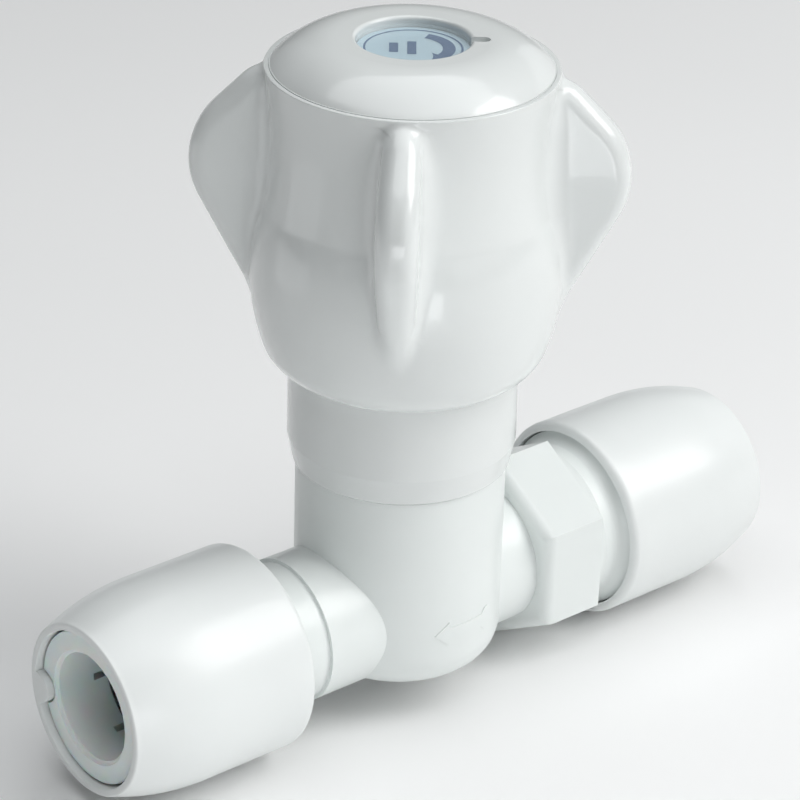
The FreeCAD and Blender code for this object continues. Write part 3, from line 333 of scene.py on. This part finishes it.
def distance_to_outline(x, level, corners):
    """Distance from points to a closed outline, below 0 inside it."""
    nearest = np.full_like(x, 1e9)
    inside = np.zeros(x.shape, bool)
    for start, end in zip(corners, np.roll(corners, -1, axis=0)):
        side = end - start
        share = ((x - start[0]) * side[0] + (level - start[1]) * side[1]) / max(side @ side, 1e-12)
        share = np.clip(share, 0.0, 1.0)
        gap = np.hypot(x - start[0] - side[0] * share, level - start[1] - side[1] * share)
        nearest = np.minimum(nearest, gap)
        crosses = (start[1] > level) != (end[1] > level)
        rise = side[1] if abs(side[1]) > 1e-12 else 1e-12
        inside ^= crosses & (x < start[0] + (level - start[1]) / rise * side[0])
    return np.where(inside, -nearest, nearest)


def wheel_distance(x, y, level, corners):
    """Below 0 inside the barrel or the wing that lies along X, which meet in a hollow round."""
    barrel = np.hypot(x, y) - barrel_radius(level)
    half = np.interp(level, WING_LEVELS, WING_HALF_THICKNESS)
    edge = np.minimum(WING_EDGE_ROUND, half)
    along = distance_to_outline(x, level, corners) + edge
    across = np.abs(y) - half + edge
    corner = np.hypot(np.maximum(along, 0.0), np.maximum(across, 0.0))
    wing = np.minimum(np.maximum(along, across), 0.0) + corner - edge
    blend = np.interp(level, WING_LEVELS, WING_ROOT_ROUND)
    hollow = np.hypot(np.maximum(blend - barrel, 0.0), np.maximum(blend - wing, 0.0))
    return np.maximum(blend, np.minimum(barrel, wing)) - hollow


def first_crossing(origin_x, direction_x, direction_y, level, corners):
    """How far each ray from (origin_x, 0) runs before it leaves the handwheel."""
    high = np.full_like(origin_x, RAY_REACH)
    for reach in np.linspace(RAY_REACH, RAY_REACH / RAY_STEPS, RAY_STEPS):
        outside = wheel_distance(origin_x + direction_x * reach, direction_y * reach, level, corners) > 0
        high = np.where(outside, reach, high)
    low = high - RAY_REACH / RAY_STEPS
    for _ in range(RAY_HALVINGS):
        middle = (low + high) / 2
        outside = wheel_distance(origin_x + direction_x * middle, direction_y * middle, level, corners) > 0
        high = np.where(outside, middle, high)
        low = np.where(outside, low, middle)
    return high


def sector_targets(radius, tip, half):
    """Ray origins on the wing's middle line and points to aim at, from between two wings to its tip."""
    reach = tip - radius
    edge_angle = np.linspace(math.pi / 4, 0.0, HALF_SECTOR + 1)
    plain = np.stack((radius * np.cos(edge_angle), radius * np.sin(edge_angle)), axis=1)
    hollow = ROOT_END * reach
    start_angle = math.asin(min((half + hollow) / (radius + hollow), 0.7))
    root_x = radius + ROOT_END * reach
    flank_x = radius + FLANK_END * reach
    origins = []
    aims = []
    for angle in np.linspace(math.pi / 4, start_angle, RING_STEPS["barrel"], endpoint=False):
        origins.append(0.0)
        aims.append((radius * math.cos(angle), radius * math.sin(angle)))
    start = (radius * math.cos(start_angle), radius * math.sin(start_angle))
    for share in np.linspace(0.0, 1.0, RING_STEPS["root"], endpoint=False):
        turned = share * math.pi / 2
        origins.append(share * root_x)
        aims.append((
            start[0] + (root_x - start[0]) * (1.0 - math.cos(turned)),
            half + (start[1] - half) * (1.0 - math.sin(turned)),
        ))
    for x in np.linspace(root_x, flank_x, RING_STEPS["flank"], endpoint=False):
        origins.append(x)
        aims.append((x, half))
    for turned in np.linspace(math.pi / 2, 0.0, RING_STEPS["tip"] + 1):
        origins.append(flank_x)
        aims.append((flank_x + (tip - flank_x) * math.cos(turned), half * math.sin(turned)))
    weight = np.clip(reach / WHOLE_REACH, 0.0, 1.0)
    weight = weight * weight * (3.0 - 2.0 * weight)
    origins = np.array(origins) * weight
    aims = np.array(aims) * weight + plain * (1.0 - weight)
    return origins, aims


def wheel_rings(levels):
    """The handwheel's outer sections, each as angles and radii for a whole turn, and its level."""
    corners = wing_outline()
    radii = barrel_radius(levels)
    halves = np.interp(levels, WING_LEVELS, WING_HALF_THICKNESS)
    start = np.full_like(levels, RAY_START)
    tips = start + first_crossing(start, np.ones_like(levels), np.zeros_like(levels), levels, corners)
    targets = [sector_targets(*sizes) for sizes in zip(radii, np.maximum(tips, radii), halves)]
    origins = np.array([origin for origin, _ in targets])
    directions = np.array([aim for _, aim in targets])
    directions[:, :, 0] -= origins
    directions /= np.linalg.norm(directions, axis=2)[:, :, None]
    heights = np.repeat(levels[:, None], origins.shape[1], axis=1)
    reach = first_crossing(origins, directions[:, :, 0], directions[:, :, 1], heights, corners)
    x = origins + directions[:, :, 0] * reach
    y = directions[:, :, 1] * reach
    return [whole_turn(*section) for section in zip(x, y, levels)]


def whole_turn(x, y, level):
    """Half of a sector's section, mirrored in the wing's middle and repeated for each wing."""
    angles = np.arctan2(y, x)
    radii = np.hypot(x, y)
    angles[0] = math.pi / 4
    angles[-1] = 0.0
    sector = np.concatenate((angles, -angles[-2:0:-1]))
    quarters = [sector - quarter * math.pi / 2 for quarter in range(4)]
    return np.concatenate(quarters), np.tile(np.concatenate((radii, radii[-2:0:-1])), 4), level


def plain_ring(radius):
    """A round ring with as many points as a whole turn of the handwheel, in the same order."""
    count = HALF_SECTOR * 8
    return math.pi / 4 - np.arange(count) * 2 * math.pi / count, np.full(count, radius)


def square_ring(half):
    """A square ring in the same order as the round ones."""
    angles, _ = plain_ring(half)
    return angles, half / np.maximum(np.abs(np.cos(angles)), np.abs(np.sin(angles)))


def ring_mesh(name, rings):
    """A closed surface through rings of (angles, radii, level) in mm, which all have as many points."""
    mesh = bpy.data.meshes.new(name)
    made = bmesh.new()
    loops = []
    for angles, radii, level in rings:
        loops.append([
            made.verts.new((radius * math.cos(angle) * MM, radius * math.sin(angle) * MM, level * MM))
            for angle, radius in zip(angles, radii)
        ])
    for lower, upper in zip(loops, loops[1:] + loops[:1]):
        count = len(lower)
        for index in range(count):
            following = (index + 1) % count
            made.faces.new((lower[index], lower[following], upper[following], upper[index]))
    bmesh.ops.recalc_face_normals(made, faces=made.faces)
    made.to_mesh(mesh)
    made.free()
    mesh.shade_smooth()
    mesh.set_sharp_from_angle(angle=SHARP_ANGLE)
    piece = bpy.data.objects.new(name, mesh)
    bpy.context.scene.collection.objects.link(piece)
    return piece


def handwheel():
    """Waisted barrel whose four wings grow out of it in soft hollows, with its bores, ledge, boss and web."""
    levels = np.concatenate((
        np.linspace(SKIRT_BOTTOM + EDGE_ROUND, ROW_BREAKS[0], ROW_COUNTS[0], endpoint=False),
        np.linspace(ROW_BREAKS[0], ROW_BREAKS[1], ROW_COUNTS[1], endpoint=False),
        np.linspace(ROW_BREAKS[1], RIM_TOP - EDGE_ROUND, ROW_COUNTS[2]),
    ))
    outside = wheel_rings(levels)
    skirt = outside[0]
    rim = outside[-1]
    inside = [
        (rim[0], rim[1] - EDGE_STEP[0], RIM_TOP - EDGE_STEP[1]),
        (rim[0], rim[1] - EDGE_INSET, RIM_TOP),
        (*plain_ring(RIM_BORE + BORE_EDGE), RIM_TOP),
        (*plain_ring(RIM_BORE), RIM_TOP - BORE_EDGE),
        (*plain_ring(RIM_BORE), CAP_LEDGE[1]),
        (*plain_ring(CAP_LEDGE[0]), CAP_LEDGE[1]),
        (*plain_ring(WELL_FLOOR[0]), WELL_FLOOR[1]),
        (*plain_ring(BOSS[0]), WELL_FLOOR[1]),
        (*plain_ring(BOSS[0]), BOSS[1]),
        (*square_ring(SQUARE_HALF), BOSS[1]),
        (*square_ring(SQUARE_HALF), BOSS_FOOT),
        (*plain_ring(SKIRT_BORE), BOSS_FOOT),
        (*plain_ring(SKIRT_BORE), SKIRT_BOTTOM + BORE_EDGE),
        (*plain_ring(SKIRT_BORE + BORE_EDGE), SKIRT_BOTTOM),
        (skirt[0], skirt[1] - EDGE_INSET, SKIRT_BOTTOM),
    ]
    piece = ring_mesh("winged_handwheel", outside + inside)
    piece.data.transform(Matrix.Translation((SPINDLE_X * MM, 0, 0)) @ Matrix.Rotation(WHEEL_TURN, 4, "Z"))
    piece.data.materials.append(looks["white_handwheel"])
    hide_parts("handwheel")
    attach(piece, "handwheel")


handwheel()

# ---------------------------------------------------------------- end caps

CAP_BACK = -1.8                     # mm outwards from the pipe stop, like every place in this section
CAP_MOUTH = 26.5
CAP_RADIUS = 14.85
CAP_MOUTH_RADIUS = 12.2
CAP_CURVE_START = 13.0
CAP_BACK_ROUND = 1.0
CAP_MOUTH_ROUND = 0.35
LIP_RADIUS = 11.2
# (place, radius) from behind the lip to the back
CAP_BORE = [
    (19.0, LIP_RADIUS),
    (19.0, 12.0),
    (15.25, 12.0),
    (15.25, 12.55),
    (0.85, 12.55),
    (0.85, 13.5),
    (CAP_BACK, 13.5),
]
KEY_BACK = 24.3
KEY_CENTRE = 10.85                  # of the key's round tip
KEY_RADIUS = 2.25
KEY_EDGE = 0.2
KEY_ROLL = math.radians(9.0)        # below the horizontal
CAP_STEPS = 120
KEY_STEPS = 12
KEY_GAP = 0.004                     # radians between the key's last ray and the lip's first
BACK_STEPS = 7
STRAIGHT_START = 1.0
STRAIGHT_STEPS = 8
CURVE_STEPS = 24
MOUTH_STEPS = 6
EDGE_MIDDLE = 0.3                   # share of the key's edge round at its middle point


def cap_angles():
    """Angles for a whole turn, closer together over the key, which is at the angle 0."""
    half = math.asin(KEY_RADIUS / KEY_CENTRE)
    over_key = np.linspace(-half, half, KEY_STEPS * 2 + 1)
    rest = np.linspace(half + KEY_GAP, 2 * math.pi - half - KEY_GAP, CAP_STEPS)
    return np.concatenate((over_key, rest))


def key_inner_radius(angles):
    """Where the lip ends towards the axis: at the key's round tip, or else at the lip's own radius."""
    across = KEY_CENTRE * np.sin(angles)
    on_key = (np.abs(across) <= KEY_RADIUS * 1.0001) & (np.cos(angles) > 0)
    depth = np.sqrt(np.maximum(KEY_RADIUS ** 2 - across ** 2, 0.0))
    return np.where(on_key, np.minimum(KEY_CENTRE * np.cos(angles) - depth, LIP_RADIUS), LIP_RADIUS)


def cap_rings():
    """The cap's sections from its back round the outside to the mouth, and back through the bore."""
    angles = cap_angles()
    tip = key_inner_radius(angles)

    def ring(place, radius):
        return angles, np.full_like(angles, radius), place

    swell = CAP_RADIUS - CAP_MOUTH_RADIUS
    length = CAP_MOUTH - CAP_CURVE_START
    curve = (length ** 2 + swell ** 2) / (swell * 2)
    rings = []
    for turned in np.linspace(math.pi / 2, 0.0, BACK_STEPS):
        rings.append(ring(
            CAP_BACK + CAP_BACK_ROUND * (1.0 - math.sin(turned)),
            CAP_RADIUS - CAP_BACK_ROUND * (1.0 - math.cos(turned)),
        ))
    for place in np.linspace(STRAIGHT_START, CAP_CURVE_START, STRAIGHT_STEPS, endpoint=False):
        rings.append(ring(place, CAP_RADIUS))
    for place in np.linspace(CAP_CURVE_START, CAP_MOUTH - CAP_MOUTH_ROUND, CURVE_STEPS):
        drop = curve - math.sqrt(curve ** 2 - (place - CAP_CURVE_START) ** 2)
        rings.append(ring(place, CAP_RADIUS - drop))
    edge = rings[-1][1][0] - CAP_MOUTH_ROUND
    for turned in np.linspace(0.0, math.pi / 2, MOUTH_STEPS)[1:]:
        rings.append(ring(
            CAP_MOUTH - CAP_MOUTH_ROUND * (1.0 - math.sin(turned)),
            edge + CAP_MOUTH_ROUND * math.cos(turned),
        ))
    rings.append((angles, tip + KEY_EDGE, CAP_MOUTH))
    rings.append((angles, tip + KEY_EDGE * EDGE_MIDDLE, CAP_MOUTH - KEY_EDGE * EDGE_MIDDLE))
    rings.append((angles, tip, CAP_MOUTH - KEY_EDGE))
    rings.append((angles, tip, KEY_BACK))
    rings.append(ring(KEY_BACK, LIP_RADIUS))
    rings += [ring(place, radius) for place, radius in CAP_BORE]
    return rings


def end_cap(end, outwards):
    """Barrel-shaped cap with rounded ends, a lip in its mouth and the key that the collet's notch fits."""
    piece = ring_mesh(f"{end}_cap_shell", cap_rings())
    node_low, node_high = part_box(f"{end}_cap")
    stop = (node_low.x + CAP_MOUTH * MM) if outwards < 0 else (node_high.x - CAP_MOUTH * MM)
    key_side = Vector((0.0, -outwards * math.cos(KEY_ROLL), -math.sin(KEY_ROLL)))
    axis = Vector((outwards, 0.0, 0.0))
    turned = Matrix((key_side, axis.cross(key_side), axis)).transposed().to_4x4()
    piece.data.transform(Matrix.Translation((stop, 0.0, 0.0)) @ turned)
    piece.data.materials.append(looks["white_cap"])
    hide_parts(f"{end}_cap")
    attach(piece, f"{end}_cap")


end_cap("outlet", -1.0)
end_cap("inlet", 1.0)

# ---------------------------------------------------------------- dial

DIAL_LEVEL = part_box("indicator_disc")[1].z / MM     # the disc's top, in mm, like every size in this section
PRINT_RISE = 0.03
LENS_RADIUS = 7.58
LENS_THICKNESS = 0.8
LENS_CROWN = 0.2
LENS_EDGE = 0.1
LENS_GAP = 0.1                      # between the disc and the lens, for the print
LENS_HUB = 0.02                     # the innermost rings stop short of the axis
LENS_RINGS = (7.2, 6.0, 4.5, 3.0, 1.5, LENS_HUB)
RING = (6.35, 6.65)
ARROW = (3.9, 5.6)                  # radii, as for the ring
ARROW_HEAD_REACH = 1.0
ARROW_START = math.radians(28.0)
ARROW_END = math.radians(-100.0)
ARROW_HEAD_TURN = math.radians(26.0)
BARS = [(-1.4, 4.6), (1.0, 3.4)]    # (place across, length) of each bar
BAR_WIDTH = 1.2
BAR_TURN = math.radians(140.0)
BAR_SHIFT = 1.6                     # of both bars from the middle
RING_PIECES = 97
ARROW_PIECES = 40
HEAD_PIECES = 12
WELD = 0.001                        # points of the print closer than this are one


def strip(made, left, right):
    """A flat strip of print between two lines of (x, y) points in mm round the spindle."""
    sides = []
    for line in (left, right):
        sides.append([
            made.verts.new(((SPINDLE_X + x) * MM, y * MM, (DIAL_LEVEL + PRINT_RISE) * MM)) for x, y in line
        ])
    first, second = sides
    for index in range(len(first) - 1):
        made.faces.new((first[index], first[index + 1], second[index + 1], second[index]))


def arc_line(radius, start, end, steps):
    return [(radius * math.cos(angle), radius * math.sin(angle)) for angle in np.linspace(start, end, steps)]


def dial_print():
    """A ring, a turning arrow and two bars, printed on the disc."""
    mesh = bpy.data.meshes.new("dial_print")
    made = bmesh.new()
    strip(made, *(arc_line(radius, 0.0, 2 * math.pi, RING_PIECES) for radius in RING))
    shaft_end = ARROW_END + ARROW_HEAD_TURN
    strip(made, *(arc_line(radius, ARROW_START, shaft_end, ARROW_PIECES) for radius in ARROW))
    middle = (ARROW[0] + ARROW[1]) / 2
    inner = []
    outer = []
    for share in np.linspace(0.0, 1.0, HEAD_PIECES):
        half = ((ARROW[1] - ARROW[0]) / 2 + ARROW_HEAD_REACH) * (1.0 - share)
        angle = shaft_end + (ARROW_END - shaft_end) * share
        inner.append(((middle - half) * math.cos(angle), (middle - half) * math.sin(angle)))
        outer.append(((middle + half) * math.cos(angle), (middle + half) * math.sin(angle)))
    strip(made, inner, outer)
    along = Vector((math.cos(BAR_TURN + math.pi / 2), math.sin(BAR_TURN + math.pi / 2)))
    across = Vector((math.cos(BAR_TURN), math.sin(BAR_TURN)))
    for offset, length in BARS:
        ends = [along * (length / 2 * side) + across * (BAR_SHIFT + offset) for side in (-1, 1)]
        strip(made, [tuple(end - across * BAR_WIDTH / 2) for end in ends],
              [tuple(end + across * BAR_WIDTH / 2) for end in ends])
    bmesh.ops.remove_doubles(made, verts=made.verts, dist=WELD * MM)
    made.to_mesh(mesh)
    made.free()
    piece = bpy.data.objects.new("dial_print", mesh)
    bpy.context.scene.collection.objects.link(piece)
    mesh.materials.append(looks["print"])
    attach(piece, "handwheel")


def window_lens():
    """A clear window with a slightly crowned top and a rounded edge, just above the print."""
    bottom = DIAL_LEVEL + LENS_GAP
    top = DIAL_LEVEL + LENS_THICKNESS
    edge = top - LENS_CROWN
    profile = [
        (LENS_HUB, bottom),
        (LENS_RADIUS, bottom),
        (LENS_RADIUS, edge - LENS_EDGE),
        (LENS_RADIUS - LENS_EDGE, edge),
    ]
    for radius in LENS_RINGS:
        profile.append((radius, top - LENS_CROWN * (radius / LENS_RADIUS) ** 2))
    piece = ring_mesh("window_lens", [(*plain_ring(radius), level) for radius, level in profile])
    piece.data.transform(Matrix.Translation((SPINDLE_X * MM, 0, 0)))
    piece.data.materials.append(looks["lens"])
    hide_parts("indicator_lens")
    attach(piece, "handwheel")


dial_print()
window_lens()

# ---------------------------------------------------------------- floor, light and camera

FLOOR_HALF = 1.2                    # metres, like the places below
FLOOR_COLOURS = ((0.90, 0.90, 0.90), (0.92, 0.92, 0.92))
COOL = (0.97, 0.99, 1.0)
WARM = (1.0, 1.0, 0.99)
# (place from the object's middle, width and height, power in watts, colour) of each softbox
SOFTBOXES = {
    "key_right": ((0.41, -0.47, 0.51), (0.5, 0.5), 3.6, WARM),
    "right_front": ((0.21, -0.73, 0.24), (0.7, 0.5), 0.7, WARM),
    "overhead": ((0.02, 0.0, 0.8), (1.0, 1.0), 5.6, COOL),
    "back_right": ((0.79, 0.13, 0.05), (0.7, 0.7), 0.8, COOL),
    "back_left": ((-0.03, 0.78, 0.17), (0.7, 0.7), 0.3, COOL),
    "low_left": ((-0.16, 0.12, -0.02), (0.12, 0.05), 0.012, COOL),
    "low_front": ((-0.11, -0.17, -0.02), (0.12, 0.05), 0.065, COOL),
}
WORLD_STRENGTH = 0.02
CAMERA_PLACE = (-0.24420, -0.31785, 0.24557)
CAMERA_RIGHT = Vector((0.7689, -0.6388, 0.0274))
CAMERA_UP = Vector((0.2742, 0.3680, 0.8885))
SENSOR_WIDTH = 36.0                 # mm
FOCAL_LENGTH = 152.42               # mm


def floor_plate():
    """A wide pale floor at the object's lowest point."""
    mesh = bpy.data.meshes.new("floor")
    made = bmesh.new()
    sides = ((-1, -1), (1, -1), (1, 1), (-1, 1))
    made.faces.new([made.verts.new((x * FLOOR_HALF, y * FLOOR_HALF, cad_low.z)) for x, y in sides])
    made.to_mesh(mesh)
    made.free()
    floor = bpy.data.objects.new("floor", mesh)
    bpy.context.scene.collection.objects.link(floor)
    look = Shader("floor")
    look.link(look.colours(look.noise(scale=6.0, detail=2.0), *FLOOR_COLOURS), look.bsdf.inputs["Base Color"])
    look.set(Roughness=0.6)
    mesh.materials.append(look.material)


def soft_light(name, place, target, size, power, colour):
    """A softbox at a place, turned towards a target."""
    data = bpy.data.lights.new(name, "AREA")
    data.shape = "RECTANGLE"
    data.size = size[0]
    data.size_y = size[1]
    data.energy = power
    data.color = colour
    lamp = bpy.data.objects.new(name, data)
    bpy.context.scene.collection.objects.link(lamp)
    lamp.location = place
    lamp.rotation_euler = (Vector(target) - Vector(place)).to_track_quat("-Z", "Y").to_euler()


def camera():
    """A long lens that looks down on the outlet end."""
    data = bpy.data.cameras.new("camera")
    data.sensor_width = SENSOR_WIDTH
    data.lens = FOCAL_LENGTH
    data.clip_start = 0.01
    made = bpy.data.objects.new("camera", data)
    bpy.context.scene.collection.objects.link(made)
    turned = Matrix((CAMERA_RIGHT, CAMERA_UP, CAMERA_RIGHT.cross(CAMERA_UP))).transposed().to_4x4()
    made.matrix_world = Matrix.Translation(CAMERA_PLACE) @ turned
    bpy.context.scene.camera = made


def world_light():
    """Faint even light from all round, and colours shown as they are."""
    world = bpy.data.worlds.new("studio")
    bpy.context.scene.world = world
    bpy.context.scene.view_settings.view_transform = "Standard"
    world.use_nodes = True
    background = world.node_tree.nodes["Background"]
    background.inputs["Color"].default_value = (1.0, 1.0, 1.0, 1.0)
    background.inputs["Strength"].default_value = WORLD_STRENGTH


floor_plate()
centre = (cad_low + cad_high) / 2
for name, (place, size, power, colour) in SOFTBOXES.items():
    soft_light(name, centre + Vector(place), centre, size, power, colour)
world_light()
camera()
